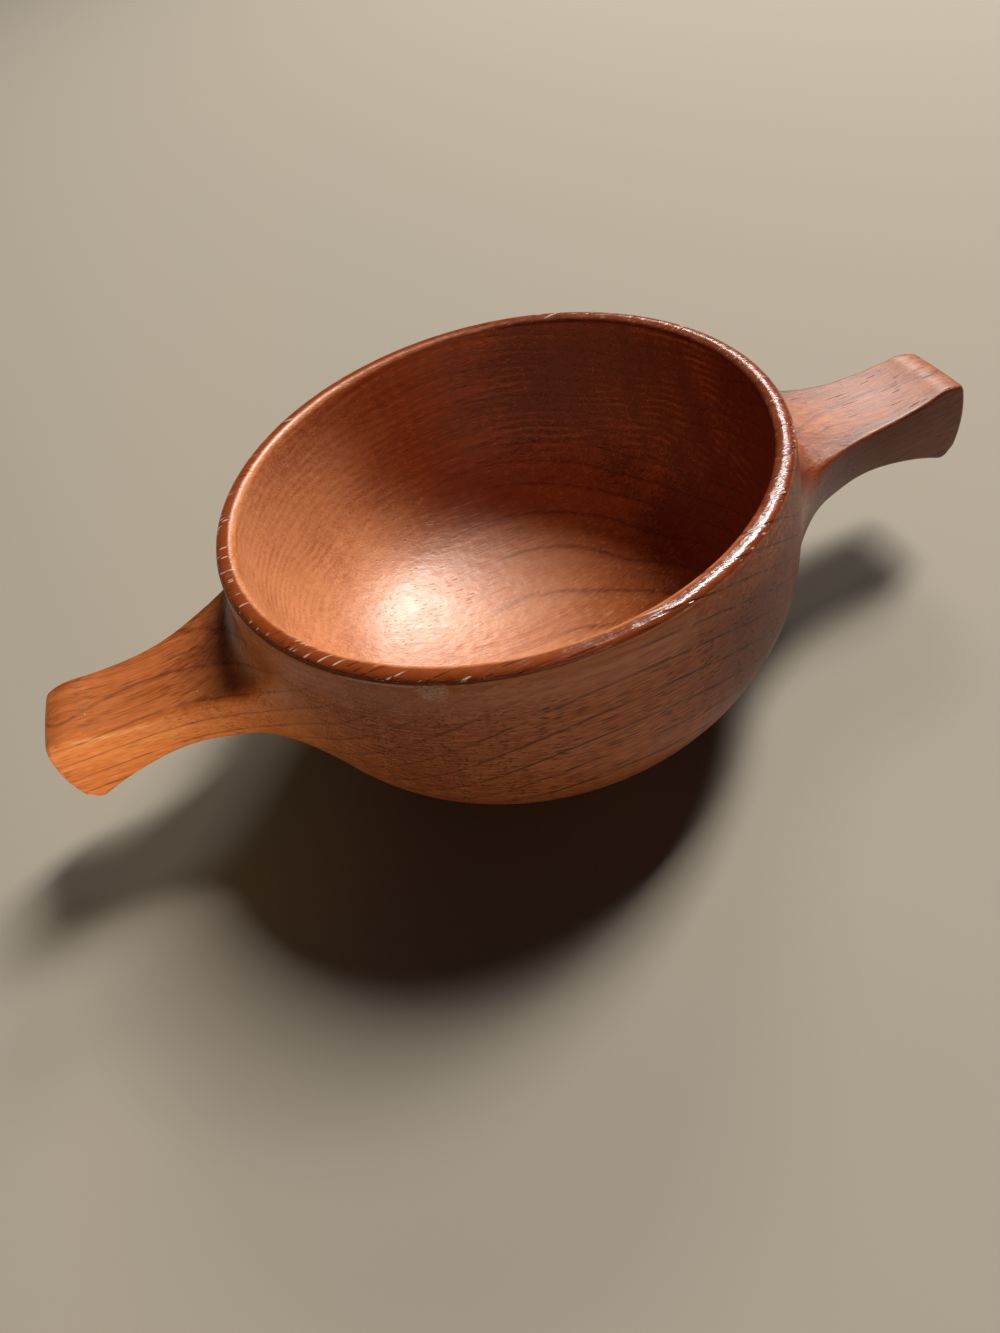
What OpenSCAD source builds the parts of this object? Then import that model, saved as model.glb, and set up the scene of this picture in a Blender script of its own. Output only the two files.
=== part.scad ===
// Wooden quaich: a turned drinking bowl with two flat lugs, built as bowl, lugs and hidden dowels.
// Millimetres, +Z up, origin under the middle of the foot, +X along the right lug.

/* [Bowl] */
// Outside diameter over the rim, the size that the others are judged by
rim_d = 102; // [98:0.5:108]
// Height from the foot to the top of the rim
bowl_h = 53; // [51:0.5:56]
// Thickness of the rounded rim
rim_t = 3.7; // [3:0.1:4.6]
// How far the belly stands out past the rim
belly_out = 1.2; // [0.8:0.1:1.8]
// How far the belly lies below the middle of the rim
belly_drop = 15.6; // [14:0.2:17]
// Radius of the belly, seen from the side
belly_r = 75; // [68:1:85]
// Radius of the turn from the belly to the underside
turn_r = 30; // [28:0.5:31]
// Thickness of the floor in the middle
floor_t = 6; // [5:0.5:8]
// Diameter of the shallow hollow under the foot
hollow_d = 26; // [20:1:30]
// Depth of the hollow under the foot
hollow_h = 0.8; // [0.5:0.1:1.2]

/* [Lugs] */
// Length over both lugs
span = 185.5; // [176:0.5:192]
// Width of a lug at its tip
tip_w = 15.2; // [13:0.2:18]
// Taper of each side of a lug, in degrees
taper = 6.1; // [3:0.1:8]
// Radius of the flare from a lug's side into the bowl, seen from above
flare_r = 42; // [36:1:46]
// How far the lowest place of the top lies below the middle of the rim
top_drop = 16.6; // [16:0.2:18]
// Radius of the hollow along the top
top_r = 62; // [56:1:72]
// Radius of the roll at the end of the top
roll_r = 8; // [6:0.5:10]
// How far the highest place of the underside lies below the middle of the rim
under_drop = 24.8; // [24.4:0.2:26]
// Radius of the arch along the underside
under_r = 67; // [62:1:72]
// Radius of the bulging end
end_r = 30; // [24:1:40]
// Radius of the lower corner of the end
corner_r = 1.5; // [1:0.25:4]
// Radius of the upright corners of the end
edge_r = 1.2; // [0.8:0.1:2]

/* [Dowels] */
// Diameter of a dowel
dowel_d = 5; // [4:0.25:5.5]
// Distance between the two dowels of a lug
dowel_gap = 15; // [12:0.5:17]
// How far a dowel lies below the middle of the rim
dowel_drop = 20.6; // [19.8:0.2:21.4]
// How deep a dowel stands in the wall of the bowl
dowel_in = 4.5; // [3.5:0.25:5]
// How deep a dowel stands in the lug
dowel_out = 9.5; // [7:0.5:11]

/* [Hidden] */
$fn = 96;

far = 400;
glue_gap = 0.05;
glue_well = 1;
dowel_chamfer = 0.5;
nip = 0.02;
lap = 1;
bite = 0.3;
flare_bite = 0.6;
bead_in = 0.2;
lean = 8;
lean_drop = 6;
lean_relief = 0.5;
top_fillet_r = 6;
under_fillet_r = 12;
root_in = 5;
edge_over = 0.1;
// Angle of the sector that a lug is turned from, wider than the lug itself.
lug_sector = 90;

// How far in from the tip the lug's arcs have their lowest or highest places.
top_low_in = 18;
under_high_in = 32.5;
roll_in = 4;
// How far below the middle of the rim the end bulges most.
bulge_drop = 23.2;

rim_z = bowl_h - rim_t / 2;
mouth_r = rim_d / 2 - rim_t;
belly = [rim_d / 2 + belly_out, rim_z - belly_drop];

// Angles below the level at which one arc of a turned profile passes into the next.
outer_turn = [4, 65];
inner_turn = [15, 65];
inner_side_r = 80;
inner_edge = [mouth_r + bead_in, rim_z];

// One of the two points where a circle about a meets a circle about b.
function meet(a, ra, b, rb, side) =
    let (d = norm(b - a), along = (ra * ra - rb * rb + d * d) / (2 * d), u = (b - a) / d)
    a + along * u + side * sqrt(ra * ra - along * along) * [-u[1], u[0]];

// The point at distance r from a, in the direction of b.
function toward(a, b, r) = a + (b - a) * r / norm(b - a);

// The same point on the other side of the lug's middle.
function across(p) = [p[0], -p[1]];

// Direction at an angle below the level.
function down(angle) = [cos(angle), -sin(angle)];

// Centre of the turn arc, which runs on from the side arc without a corner.
function turn_centre(edge, side, turn, angles) = [edge[0] - side, edge[1]] + (side - turn) * down(angles[0]);

// Radius of the bottom arc, which runs on from the turn arc and is level on the axis.
function bottom_radius(edge, side, turn, angles) =
    turn + turn_centre(edge, side, turn, angles)[0] / cos(angles[1]);

// Height of the lowest point of the profile.
function bottom_level(edge, side, turn, angles) =
    let (c = turn_centre(edge, side, turn, angles), r = bottom_radius(edge, side, turn, angles))
    c[1] + (r - turn) * sin(angles[1]) - r;

// Turn radius that puts the lowest point of a profile at a given height, as bottom_level is linear in it.
function turn_for_level(edge, side, angles, level) =
    let (low = bottom_level(edge, side, 0, angles), high = bottom_level(edge, side, 1, angles))
    (level - low) / (high - low);

inner_turn_r = turn_for_level(inner_edge, inner_side_r, inner_turn, floor_t);

// Arcs of the lug's radial section: centres in (radius, height). Each overlaps the next by nip.
tip_r = span / 2;
belly_c = [belly[0] - belly_r, belly[1]];
turn_c = turn_centre(belly, belly_r, turn_r, outer_turn);
top_c = [tip_r - top_low_in, rim_z - top_drop + top_r];
under_c = [tip_r - under_high_in, rim_z - under_drop - under_r];
end_c = [tip_r - end_r, rim_z - bulge_drop];
top_fillet_c = meet(belly_c, belly_r - bite + top_fillet_r, top_c, top_r - top_fillet_r + nip, -1);
under_fillet_c = meet(turn_c, turn_r - bite + under_fillet_r, under_c, under_r - under_fillet_r + nip, 1);
roll_x = tip_r - roll_in;
roll_c = [roll_x, top_c[1] - sqrt(pow(top_r + roll_r - nip, 2) - pow(roll_x - top_c[0], 2))];
corner_c = meet(under_c, under_r + corner_r - nip, end_c, end_r - corner_r + nip, -1);

// Arcs of the lug's outline from above: centres in (x, y).
taper_u = [sin(taper), cos(taper)];
edge_y = tip_w / 2 - edge_r;
edge_c = [sqrt(pow(tip_r - edge_r, 2) - edge_y * edge_y) + edge_over, edge_y];
edge_start = edge_c + (edge_r - nip) * taper_u;
side_reach = edge_start * taper_u + flare_r - nip;
flare_d = belly[0] - flare_bite + flare_r;
flare_along = sqrt(flare_d * flare_d - side_reach * side_reach);
flare_c = side_reach * taper_u + flare_along * [cos(taper), -sin(taper)];
flare_end = flare_c - (flare_r - nip) * taper_u;

dowel_z = rim_z - dowel_drop;
wall_x = sqrt(pow(belly[0], 2) - pow(dowel_gap / 2, 2));
hole_start = wall_x - dowel_in;
dowel_l = dowel_in + dowel_out;

// Flat area inside a profile of three arcs that meet without corners, up to the height top.
module dish(edge, side, turn, angles, top) {
    side_c = [edge[0] - side, edge[1]];
    c = turn_centre(edge, side, turn, angles);
    r = bottom_radius(edge, side, turn, angles);
    low_c = [0, bottom_level(edge, side, turn, angles) + r];
    axis_point = [0, edge[1] + side_c[0] * tan(angles[0])];
    intersection() {
        translate(side_c) circle(side);
        polygon([axis_point, c, c + far * down(angles[0]), [far, top], [0, top]]);
    }
    intersection() {
        translate(c) circle(turn + nip);
        translate([0, -far]) square([far, far + edge[1]]);
    }
    intersection() {
        translate(low_c) circle(r);
        polygon([axis_point, c, c + far * down(angles[1]), [0, -far]]);
    }
}

// The bowl's outside as a flat area, up to the middle of the rim.
module outside() {
    intersection() {
        dish(belly, belly_r, turn_r, outer_turn, rim_z);
        square([far, far]);
    }
}

module foot_hollow() {
    ball_r = (pow(hollow_d / 2, 2) + pow(hollow_h, 2)) / (2 * hollow_h);
    translate([0, hollow_h - ball_r]) circle(ball_r);
}

module bowl_section() {
    difference() {
        outside();
        dish(inner_edge, inner_side_r, inner_turn_r, inner_turn, rim_z + rim_t);
        foot_hollow();
    }
    translate([mouth_r + rim_t / 2, rim_z]) circle(rim_t / 2);
}

// A lug cut along its middle, as a flat area in (radius, height), from inside the bowl to the tip.
module lug_section() {
    top_start = toward(top_fillet_c, belly_c, top_fillet_r);
    under_start = toward(under_fillet_c, turn_c, under_fillet_r);
    corner_out = toward(end_c, corner_c, end_r + corner_r);
    intersection() {
        translate(end_c) circle(end_r);
        difference() {
            polygon([[mouth_r, top_start[1]], top_start, top_fillet_c,
                     toward(top_c, roll_c, top_r - lap), roll_c,
                     [far, roll_c[1]], [far, corner_out[1]], corner_out, corner_c,
                     toward(under_c, corner_c, under_r - lap), under_fillet_c, under_start,
                     [under_start[0] - root_in, under_start[1]]]);
            translate(top_fillet_c) circle(top_fillet_r);
            right_of(top_c, top_fillet_c) translate(top_c) circle(top_r);
            translate(under_fillet_c) circle(under_fillet_r);
            right_of(under_c, under_fillet_c) translate(under_c) circle(under_r);
        }
    }
    intersection() {
        translate(roll_c) circle(roll_r);
        translate(end_c) circle(end_r);
        translate([0, roll_c[1] - lap]) square([far, far]);
    }
    translate(corner_c) circle(corner_r);
}

// What lies to the right of the line from a to b, to the far side of b.
module right_of(a, b) {
    beyond = toward(a, b, far);
    intersection() {
        children();
        polygon([a, beyond, [far, beyond[1]], [far, a[1]]]);
    }
}

// A lug's outline from above.
module lug_outline() {
    difference() {
        polygon([[0, 0], across(flare_c), across(flare_end), across(edge_start), across(edge_c),
                 [far, 0], edge_c, edge_start, flare_end, flare_c]);
        translate(flare_c) circle(flare_r);
        translate(across(flare_c)) circle(flare_r);
    }
    translate(edge_c) circle(edge_r);
    translate(across(edge_c)) circle(edge_r);
}

// A lug without its holes, coped to the wall of the bowl.
module lug_block() {
    intersection() {
        rotate([0, 0, -lug_sector / 2]) rotate_extrude(angle = lug_sector) difference() {
            lug_section();
            outside();
        }
        linear_extrude(bowl_h) lug_outline();
    }
}

// Leaning round cutter that keeps the lower end of a flare close to the wall, where it turns in.
module flare_tool() {
    c = flare_c * (1 - lean_relief / norm(flare_c));
    translate([c[0], c[1], belly[1] - lean_drop]) rotate(a = lean, v = [taper_u[0], taper_u[1], 0])
        cylinder(h = bowl_h, r = flare_r - lean_relief, center = true);
}

// Hole for one dowel: through the glue line, with room for glue at the lug's end.
module dowel_hole(y) {
    translate([hole_start, y, dowel_z]) rotate([0, 90, 0])
        cylinder(h = dowel_l + glue_well, d = dowel_d + 2 * glue_gap);
}

module right_holes() {
    dowel_hole(dowel_gap / 2);
    dowel_hole(-dowel_gap / 2);
}

module lug() {
    difference() {
        lug_block();
        flare_tool();
        mirror([0, 1, 0]) flare_tool();
        right_holes();
    }
}

// Dowel along +X from the bottom of its hole in the bowl, with both ends chamfered.
module dowel(y) {
    r = dowel_d / 2;
    translate([hole_start, y, dowel_z]) rotate([0, 90, 0]) rotate_extrude()
        polygon([[0, 0], [r - dowel_chamfer, 0], [r, dowel_chamfer], [r, dowel_l - dowel_chamfer],
                 [r - dowel_chamfer, dowel_l], [0, dowel_l]]);
}

module bowl() {
    color("sienna") difference() {
        rotate_extrude() bowl_section();
        right_holes();
        rotate([0, 0, 180]) right_holes();
    }
}

module lug_right() {
    color("peru") lug();
}

module lug_left() {
    color("peru") rotate([0, 0, 180]) lug();
}

module dowel_right_front() {
    color("burlywood") dowel(-dowel_gap / 2);
}

module dowel_right_back() {
    color("burlywood") dowel(dowel_gap / 2);
}

module dowel_left_front() {
    color("burlywood") rotate([0, 0, 180]) dowel(dowel_gap / 2);
}

module dowel_left_back() {
    color("burlywood") rotate([0, 0, 180]) dowel(-dowel_gap / 2);
}

bowl();
lug_left();
lug_right();
dowel_left_front();
dowel_left_back();
dowel_right_front();
dowel_right_back();
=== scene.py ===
# %% [markdown]
# A quaich is a shallow drinking bowl with two flat lugs, one for each hand. This one is turned from an
# open-pored, reddish-brown hardwood and oiled to a satin gloss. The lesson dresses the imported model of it:
# the bowl and the two lugs get finer skins, and all the wood gets one grain that runs through every piece.
#
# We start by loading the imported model. Its nodes are already in place, in metres, with the bowl's foot on
# the level z = 0 and the lugs along X, so whatever we make can be written straight into that frame.

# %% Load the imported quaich
import math
from types import SimpleNamespace

import bpy
import numpy as np
from mathutils import Matrix, Vector


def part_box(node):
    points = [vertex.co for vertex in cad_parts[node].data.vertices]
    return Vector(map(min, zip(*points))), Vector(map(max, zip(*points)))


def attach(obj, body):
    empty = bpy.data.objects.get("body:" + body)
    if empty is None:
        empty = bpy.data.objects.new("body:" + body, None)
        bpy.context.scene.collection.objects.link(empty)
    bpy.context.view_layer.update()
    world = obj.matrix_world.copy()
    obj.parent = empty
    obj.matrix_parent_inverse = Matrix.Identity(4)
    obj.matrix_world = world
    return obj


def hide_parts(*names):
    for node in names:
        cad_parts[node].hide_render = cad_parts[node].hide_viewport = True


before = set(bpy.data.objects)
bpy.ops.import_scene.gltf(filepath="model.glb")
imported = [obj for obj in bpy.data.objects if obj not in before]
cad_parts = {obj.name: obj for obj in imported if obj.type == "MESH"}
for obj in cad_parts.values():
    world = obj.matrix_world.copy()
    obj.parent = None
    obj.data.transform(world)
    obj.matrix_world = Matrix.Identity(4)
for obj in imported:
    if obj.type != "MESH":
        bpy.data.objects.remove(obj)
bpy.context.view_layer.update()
mm = 0.001
print("nodes:", sorted(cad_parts))

# %% [markdown]
# The camera stands where the photographer stood: in front of the bowl, a little to its left, looking down
# at about 46 degrees with the picture tilted. We describe it the way one would on set, by where it stands,
# where it looks and how far it is rolled, and turn those into a rotation matrix. The columns of a camera's
# matrix are its right, its up and the direction it looks away from.

# %% Camera
CAMERA_PLACE = Vector((-25.97, -135.56, 146.78)) * mm
LOOK_HEADING = math.radians(7.0)
LOOK_DOWN = math.radians(46.4)
PICTURE_ROLL = math.radians(17.07)
LENS = 25.12
SENSOR_WIDTH = 36

look = Vector((math.sin(LOOK_HEADING) * math.cos(LOOK_DOWN),
               math.cos(LOOK_HEADING) * math.cos(LOOK_DOWN),
               -math.sin(LOOK_DOWN)))
level_right = look.cross(Vector((0, 0, 1))).normalized()
level_up = level_right.cross(look)
right = math.cos(PICTURE_ROLL) * level_right - math.sin(PICTURE_ROLL) * level_up
up = right.cross(look)

camera = bpy.data.objects.new("camera", bpy.data.cameras.new("camera"))
bpy.context.scene.collection.objects.link(camera)
camera.data.lens = LENS
camera.data.sensor_width = SENSOR_WIDTH
camera.data.clip_start = 1 * mm
camera.matrix_world = Matrix.Translation(CAMERA_PLACE) @ Matrix((right, up, -look)).transposed().to_4x4()
bpy.context.scene.camera = camera
print("camera at", [round(v, 4) for v in camera.location])

# %% [markdown]
# Every skin here is a grid of points worked out with numpy: rows along one parameter, columns along the
# other. One helper turns such a grid into a closed mesh. The columns wrap round, and a single point closes
# the grid at either end, so there are no open seams or poles.

# %% Helper that makes a closed mesh from a grid
def closed_skin(name, grid, first_pole, last_pole):
    """Make a mesh object of a grid of points, shape (rows, columns, 3), between two poles.

    A quad joins each point to the next row and the next column, and the last column joins the first.
    A fan of triangles joins the first row to first_pole and the last row to last_pole.
    """
    rows, columns, _ = grid.shape
    index = np.arange(rows * columns).reshape(rows, columns)
    after = np.roll(index, -1, axis=1)
    quads = np.stack((index[:-1], index[1:], after[1:], after[:-1]), axis=-1).reshape(-1, 4)
    low, high = rows * columns, rows * columns + 1
    first_fan = np.column_stack((index[0], after[0], np.full(columns, low)))
    last_fan = np.column_stack((after[-1], index[-1], np.full(columns, high)))
    points = np.vstack((grid.reshape(-1, 3), first_pole, last_pole))
    mesh = bpy.data.meshes.new(name)
    mesh.from_pydata(points.tolist(), [], quads.tolist() + first_fan.tolist() + last_fan.tolist())
    mesh.shade_smooth()
    piece = bpy.data.objects.new(name, mesh)
    bpy.context.scene.collection.objects.link(piece)
    print(name, "has", 2 * len(quads) + 2 * columns, "triangles")
    return piece


# %% [markdown]
# The bowl was turned on a lathe, so its skin is one profile carried round the Z axis. The profile is drawn
# with the same few arcs as the solid: a hollow under the foot, a wide bottom arc, a tight turn, the belly,
# the rim, and three arcs back down to the floor. Where the solid has a plain round bead, use has worn the
# rim: its top is a gentle crown between two small round edges, and the wall comes up to it nearly flush. We
# read the overall sizes from the frame and name the rest in millimetres.

# %% Sizes of the bowl
bowl_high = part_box("bowl")[1]
BELLY_R = bowl_high.x
RIM_T = 3.7 * mm
RIM_Z = bowl_high.z - RIM_T / 2
BELLY_OUT = 1.2 * mm
BELLY_DROP = 15.6 * mm
BELLY_ARC_R = 75 * mm
UPPER_ARC_R = 108 * mm
TURN_ARC_R = 30 * mm
FLOOR_T = 6 * mm
HOLLOW_R = 13 * mm
HOLLOW_H = 0.8 * mm
INNER_SIDE_ARC_R = 80 * mm
LIP_IN = 0.2 * mm
CROWN_R = 2.5 * mm
EDGE_R = 1.2 * mm
PROUD = 0.04 * mm
OUTER_TURN = (4, 65)
INNER_TURN = (15, 65)

mouth_r = BELLY_R - BELLY_OUT - RIM_T
rim_r = mouth_r + RIM_T / 2
belly = np.array((BELLY_R, RIM_Z - BELLY_DROP))
inner_edge = np.array((mouth_r + LIP_IN, RIM_Z))
upper = (belly - (UPPER_ARC_R, 0), UPPER_ARC_R)
crown = (np.array((rim_r, bowl_high.z - CROWN_R)), CROWN_R)
print("rim diameter", round(2 * (mouth_r + RIM_T) / mm, 2), "mm, height", round(bowl_high.z / mm, 2), "mm")


# %% Arcs of a turned profile
def below(angle):
    """Direction at an angle below the level, in degrees."""
    return np.array((math.cos(math.radians(angle)), -math.sin(math.radians(angle))))


def dish_arcs(edge, side_r, turn_r, angles):
    """Centres and radii of a side arc, a turn arc and a bottom arc that run into each other.

    Two arcs join smoothly where their centres lie on one line with the joint, so each centre lies on the
    line at the joint's angle through the centre before it. The bottom arc's centre is on the axis.
    """
    side_c = np.array((edge[0] - side_r, edge[1]))
    turn_c = side_c + (side_r - turn_r) * below(angles[0])
    bottom_r = turn_r + turn_c[0] / math.cos(math.radians(angles[1]))
    bottom_c = turn_c + (turn_r - bottom_r) * below(angles[1])
    return (side_c, side_r), (turn_c, turn_r), (bottom_c, bottom_r)


def turn_for_floor(edge, side_r, angles, level):
    """Turn radius that puts the lowest point at a level, which changes in proportion to that radius."""
    lowest = [bottom_c[1] - bottom_r
              for bottom_c, bottom_r in (dish_arcs(edge, side_r, trial, angles)[2] for trial in (0.0, 1.0))]
    return float((level - lowest[0]) / (lowest[1] - lowest[0]))


outer = dish_arcs(belly, BELLY_ARC_R, TURN_ARC_R, OUTER_TURN)
inner_turn_r = turn_for_floor(inner_edge, INNER_SIDE_ARC_R, INNER_TURN, FLOOR_T)
inner = dish_arcs(inner_edge, INNER_SIDE_ARC_R, inner_turn_r, INNER_TURN)
print("inner turn radius", round(inner_turn_r / mm, 3), "mm")


# %% [markdown]
# A real rim, foot or bead has no knife edges: sanding takes them off. So we draw the profile far too finely
# and then average each point with its neighbours along the line, which rounds every corner by about a quarter
# of a millimetre and leaves the long arcs alone. Last, we keep few points where the line is nearly straight
# and many where it bends.

# %% Profile of the bowl
STEP = 0.02 * mm
FEWEST_STEPS = 8
SANDING = 0.25 * mm
BEND_WEIGHT = 6 * mm
PROFILE_POINTS = 168
AROUND = 560


def arc(circle, start, stop):
    """Points about STEP apart on a circle, from one angle to another, in degrees."""
    centre, radius = circle
    count = max(FEWEST_STEPS, int(abs(math.radians(stop - start)) * radius / STEP))
    angle = np.radians(np.linspace(start, stop, count, endpoint=False))
    return centre + radius * np.column_stack((np.cos(angle), np.sin(angle)))


def line(start, stop):
    """Points about STEP apart on a straight line."""
    start, stop = np.array(start), np.array(stop)
    count = max(FEWEST_STEPS, int(np.linalg.norm(stop - start) / STEP))
    share = np.linspace(0, 1, count, endpoint=False)[:, None]
    return start + (stop - start) * share


def crossing(circle, other, side):
    """Point where two circles cross, to one side (1 or -1) of the line between their centres."""
    (centre, radius), (other_centre, other_radius) = circle, other
    apart = np.linalg.norm(other_centre - centre)
    towards = (other_centre - centre) / apart
    along = (radius ** 2 - other_radius ** 2 + apart ** 2) / (2 * apart)
    across = side * math.sqrt(radius ** 2 - along ** 2)
    return centre + along * towards + across * np.array((-towards[1], towards[0]))


def angle_on(circle, point):
    """Angle of a point as seen from a circle's centre, in degrees."""
    return math.degrees(math.atan2(point[1] - circle[0][1], point[0] - circle[0][0]))


def rim_edge(width):
    """Round edge of the rim, as a circle, and the angle from the top of the crown to where they join.

    The circle lies inside the crown's and touches it, and reaches width from the middle of the rim.
    """
    reach = math.asin((abs(width) - EDGE_R) / (CROWN_R - EDGE_R))
    offset = np.array((math.copysign(math.sin(reach), width), math.cos(reach)))
    return (crown[0] + (CROWN_R - EDGE_R) * offset, EDGE_R), math.degrees(reach)


def bowl_profile():
    """Profile from the middle of the foot, up the outside and over the rim to the middle of the floor."""
    ball_r = (HOLLOW_R ** 2 + HOLLOW_H ** 2) / (2 * HOLLOW_H)
    hollow = (np.array((0, HOLLOW_H - ball_r)), ball_r)
    side, turn, bottom = outer
    foot_r = math.sqrt(bottom[1] ** 2 - bottom[0][1] ** 2)
    outer_edge, outer_reach = rim_edge(RIM_T / 2)
    round_in, inner_reach = rim_edge(inner_edge[0] - PROUD - rim_r)
    neck = crossing(upper, outer_edge, -1)
    lip = crossing(inner[0], round_in, -1)
    return np.vstack((
        arc(hollow, 90, math.degrees(math.acos(HOLLOW_R / ball_r))),
        line((HOLLOW_R, 0), (foot_r, 0)),
        arc(bottom, angle_on(bottom, (foot_r, 0)), -OUTER_TURN[1]),
        arc(turn, -OUTER_TURN[1], -OUTER_TURN[0]),
        arc(side, -OUTER_TURN[0], 0),
        arc(upper, 0, angle_on(upper, neck)),
        arc(outer_edge, angle_on(outer_edge, neck), 90 - outer_reach),
        arc(crown, 90 - outer_reach, 90 + inner_reach),
        arc(round_in, 90 + inner_reach, 360 + angle_on(round_in, lip)),
        arc(inner[0], angle_on(inner[0], lip), -INNER_TURN[0]),
        arc(inner[1], -INNER_TURN[0], -INNER_TURN[1]),
        arc(inner[2], -INNER_TURN[1], -90),
    ))


raw = bowl_profile()
print("profile of", len(raw), "points, highest", round(raw[:, 1].max() / mm, 3), "mm")


# %% Helpers that sand a profile and thin it out
BELL_REACH = 4


def sanded(points, width):
    """Average the points along the line with a bell curve of that width, mirrored at the axis ends."""
    reach = int(BELL_REACH * width / STEP)
    offset = np.arange(-reach, reach + 1) * STEP
    bell = np.exp(-0.5 * (offset / width) ** 2)
    bell /= bell.sum()
    mirror = np.array((-1, 1))
    padded = np.vstack((points[reach:0:-1] * mirror, points, points[-2:-reach - 2:-1] * mirror))
    return np.column_stack([np.convolve(padded[:, k], bell, mode="valid") for k in (0, 1)])


def thinning(points, count):
    """Places of count points along a profile, spaced so that bends get more of them than straight runs."""
    step = np.diff(points, axis=0)
    length = np.linalg.norm(step, axis=1)
    heading = np.unwrap(np.arctan2(step[:, 1], step[:, 0]))
    bend = np.abs(np.gradient(heading)) * BEND_WEIGHT
    weight = np.concatenate(((0,), np.cumsum(length + bend)))
    return np.interp(np.linspace(0, weight[-1], count), weight, np.arange(len(points)))


def picked(points, places):
    """Points of a profile at those places along it."""
    index = np.arange(len(points))
    return np.column_stack([np.interp(places, index, points[:, k]) for k in (0, 1)])


# %% [markdown]
# A fine crease runs under the rim on the left and the front, and wear has taken it off on the right. So we
# cut it into a copy of the profile, as a narrow bell-shaped groove, and thin both copies at the same places.
# When the profile is carried round, it can then change from one copy to the other.

# %% Profile with and without the crease
CREASE_Z = 52.05 * mm
CREASE_DEPTH = 0.20 * mm
CREASE_HALF_WIDTH = 0.18 * mm
CREASE_WORN = math.radians(-20)


def creased(points):
    """The profile with a groove on its outside: the radius shrinks by a bell curve of the height."""
    outside = np.arange(len(points)) < points[:, 1].argmax()
    groove = CREASE_DEPTH * np.exp(-((points[:, 1] - CREASE_Z) / CREASE_HALF_WIDTH) ** 2)
    return points - np.column_stack((groove * outside, np.zeros(len(points))))


worn = sanded(raw, SANDING)
sharp = creased(worn)
places = thinning(sharp, PROFILE_POINTS)
worn_profile = picked(worn, places)
sharp_profile = picked(sharp, places)
print("thinned to", len(worn_profile), "points, highest", round(worn_profile[:, 1].max() / mm, 3), "mm")

# %% [markdown]
# Carrying the profile round is a single array product: radius times cosine and sine of the turn. A turned
# wooden bowl is never quite round once it has dried. The wall draws in a hair across the grain, so we let
# the radius swing by a tenth of a millimetre, fading to nothing at the foot, which keeps it standing flat.

# %% Bowl skin
OVAL = 0.10 * mm


def bowl_grid(worn, sharp, around):
    """Turn profile points (radius, height) about Z: x = r cos a, y = r sin a, with a slight oval swing.

    The profile goes from the worn one to the one with the crease and back, once round.
    """
    angle = np.linspace(0, 2 * math.pi, around, endpoint=False)[None, :]
    share = 0.5 - 0.5 * np.cos(angle - CREASE_WORN)
    radius = worn[1:-1, :1] * (1 - share) + sharp[1:-1, :1] * share
    height = worn[1:-1, 1:] * (1 - share) + sharp[1:-1, 1:] * share
    swung = radius + OVAL * np.cos(2 * angle) * np.clip(height / RIM_Z, 0, 1) ** 2
    return np.stack((swung * np.cos(angle), swung * np.sin(angle), height), axis=-1)


bowl_skin = closed_skin("bowl_skin", bowl_grid(worn_profile, sharp_profile, AROUND),
                        (0, 0, worn_profile[0, 1]), (0, 0, worn_profile[-1, 1]))
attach(bowl_skin, "root")
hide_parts("bowl")

# %% [markdown]
# A lug is carved: flat on top with a long hollow, arched below, wider where it flows into the wall, and with
# a slightly bulging end. We build it as a loft of rounded rectangles. The loft parameter runs from the wall
# of the bowl (0) to the end of the lug (1), and each row has a half width, a top and an underside. The rows
# crowd together at the wall, because there all three run into it along fillets.

# %% Sizes of a lug
TIP_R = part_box("lug_right")[1].x
TIP_W = 15.2 * mm
TAPER = math.radians(6.1)
FLARE_R = 42 * mm
TOP_LOW = np.array((TIP_R - 18 * mm, RIM_Z - 16.6 * mm))
TOP_ARC_R = 62 * mm
ROLL_IN = 4 * mm
ROLL_R = 8 * mm
UNDER_HIGH = np.array((TIP_R - 32.5 * mm, RIM_Z - 24.8 * mm))
UNDER_ARC_R = 67 * mm
CORNER_R = 1.5 * mm
BULGE_Z = RIM_Z - 23.2 * mm
END_ARC_R = 30 * mm
TOP_FILLET = 5 * mm
UNDER_FILLET = 8 * mm
GLUE_DEPTH = 0.03 * mm
REACH = TIP_R - BELLY_R
print("lug reaches", round(REACH / mm, 2), "mm past the belly")


# %% Half width, top and underside of a lug
def side_half_width(r):
    """Half width at distance r from the axis: a flare circle tangent to the bowl, then a tapering side.

    A circle of radius r meets the straight side, whose distance from the axis is reach, at the angle
    asin(reach / r) - taper, and it meets the flare circle by the law of cosines.
    """
    reach = TIP_R * math.sin(math.asin(TIP_W / 2 / TIP_R) + TAPER)
    centre_d = BELLY_R + FLARE_R
    heading = math.asin((reach + FLARE_R) / centre_d) - TAPER
    joint_r = math.hypot(reach, centre_d * math.cos(heading + TAPER))
    cosine = (r * r + centre_d ** 2 - FLARE_R ** 2) / (2 * r * centre_d)
    flare = r * np.sin(heading - np.arccos(np.clip(cosine, -1, 1)))
    side = r * np.sin(np.arcsin(np.clip(reach / r, -1, 1)) - TAPER)
    return np.where(r < joint_r, flare, side)


def fillet(depth, radius):
    """Height of a quarter-round fillet at a distance from the wall: radius at the wall, 0 past radius."""
    short = np.clip(radius - depth, 0, radius)
    return radius - np.sqrt(radius ** 2 - short ** 2)


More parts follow.
